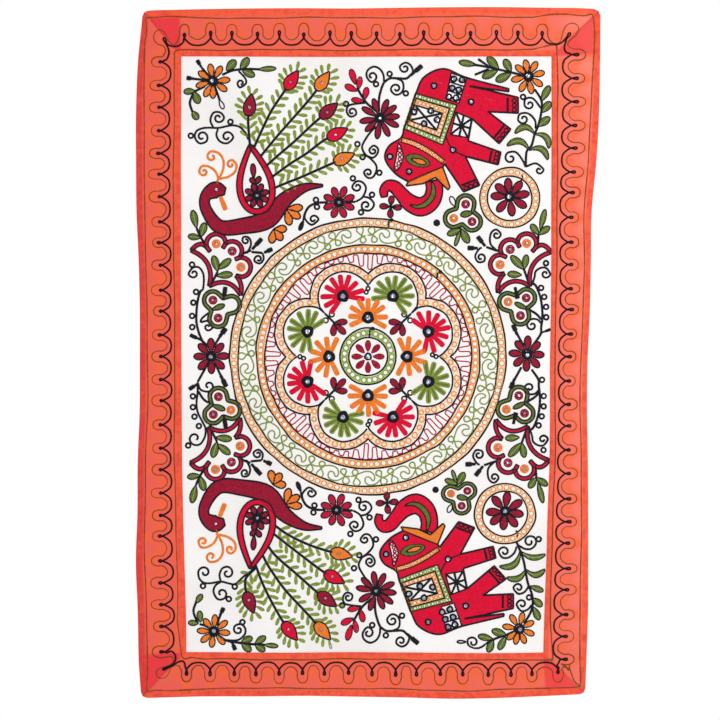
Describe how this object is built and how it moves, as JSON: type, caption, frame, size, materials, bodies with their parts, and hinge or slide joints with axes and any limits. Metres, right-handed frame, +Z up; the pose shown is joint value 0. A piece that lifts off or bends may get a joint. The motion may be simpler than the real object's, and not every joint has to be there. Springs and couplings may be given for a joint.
{
  "type": "embroidered wall hanging",
  "caption": "Rectangular cotton wall hanging with chain-stitch and mirror embroidery on an off-white ground and a turned, mitred salmon border.",
  "frame": {"origin": "middle of the top edge, on the wall that the cloth hangs on", "axes": "+Z up, +X to the viewer's right, -Y out of the wall towards the viewer"},
  "size_m": [1.0264, 0.0129, 1.5273],
  "materials": {
    "ground_cotton": "off-white plain-weave cotton",
    "border_cotton": "salmon orange plain-weave cotton",
    "shisha_mirror": "thin silvered glass"
  },
  "bodies": {
    "root": {"border_bottom": "border_cotton", "border_left": "border_cotton", "border_right": "border_cotton", "border_top": "border_cotton", "ground_cloth": "ground_cotton", "mirror_flower_01": "shisha_mirror", "mirror_flower_02": "shisha_mirror", "mirror_flower_03": "shisha_mirror", "mirror_flower_04": "shisha_mirror", "mirror_flower_05": "shisha_mirror", "mirror_flower_06": "shisha_mirror", "mirror_flower_07": "shisha_mirror", "mirror_flower_08": "shisha_mirror", "mirror_lower_elephant_01": "shisha_mirror", "mirror_lower_elephant_02": "shisha_mirror", "mirror_lower_elephant_03": "shisha_mirror", "mirror_lower_elephant_04": "shisha_mirror", "mirror_lower_elephant_05": "shisha_mirror", "mirror_lower_elephant_06": "shisha_mirror", "mirror_lower_elephant_07": "shisha_mirror", "mirror_lower_elephant_08": "shisha_mirror", "mirror_lower_elephant_09": "shisha_mirror", "mirror_lower_elephant_10": "shisha_mirror", "mirror_lower_elephant_11": "shisha_mirror", "mirror_lower_elephant_12": "shisha_mirror", "mirror_lower_elephant_13": "shisha_mirror", "mirror_lower_elephant_14": "shisha_mirror", "mirror_lower_elephant_15": "shisha_mirror", "mirror_round_01": "shisha_mirror", "mirror_round_02": "shisha_mirror", "mirror_round_03": "shisha_mirror", "mirror_round_04": "shisha_mirror", "mirror_round_05": "shisha_mirror", "mirror_round_06": "shisha_mirror", "mirror_round_07": "shisha_mirror", "mirror_round_08": "shisha_mirror", "mirror_round_09": "shisha_mirror", "mirror_round_10": "shisha_mirror", "mirror_round_11": "shisha_mirror", "mirror_round_12": "shisha_mirror", "mirror_round_13": "shisha_mirror", "mirror_upper_elephant_01": "shisha_mirror", "mirror_upper_elephant_02": "shisha_mirror", "mirror_upper_elephant_03": "shisha_mirror", "mirror_upper_elephant_04": "shisha_mirror", "mirror_upper_elephant_05": "shisha_mirror", "mirror_upper_elephant_06": "shisha_mirror", "mirror_upper_elephant_07": "shisha_mirror", "mirror_upper_elephant_08": "shisha_mirror", "mirror_upper_elephant_09": "shisha_mirror", "mirror_upper_elephant_10": "shisha_mirror", "mirror_upper_elephant_11": "shisha_mirror", "mirror_upper_elephant_12": "shisha_mirror", "mirror_upper_elephant_13": "shisha_mirror", "mirror_upper_elephant_14": "shisha_mirror", "mirror_upper_elephant_15": "shisha_mirror"}
  },
  "joints": []
}
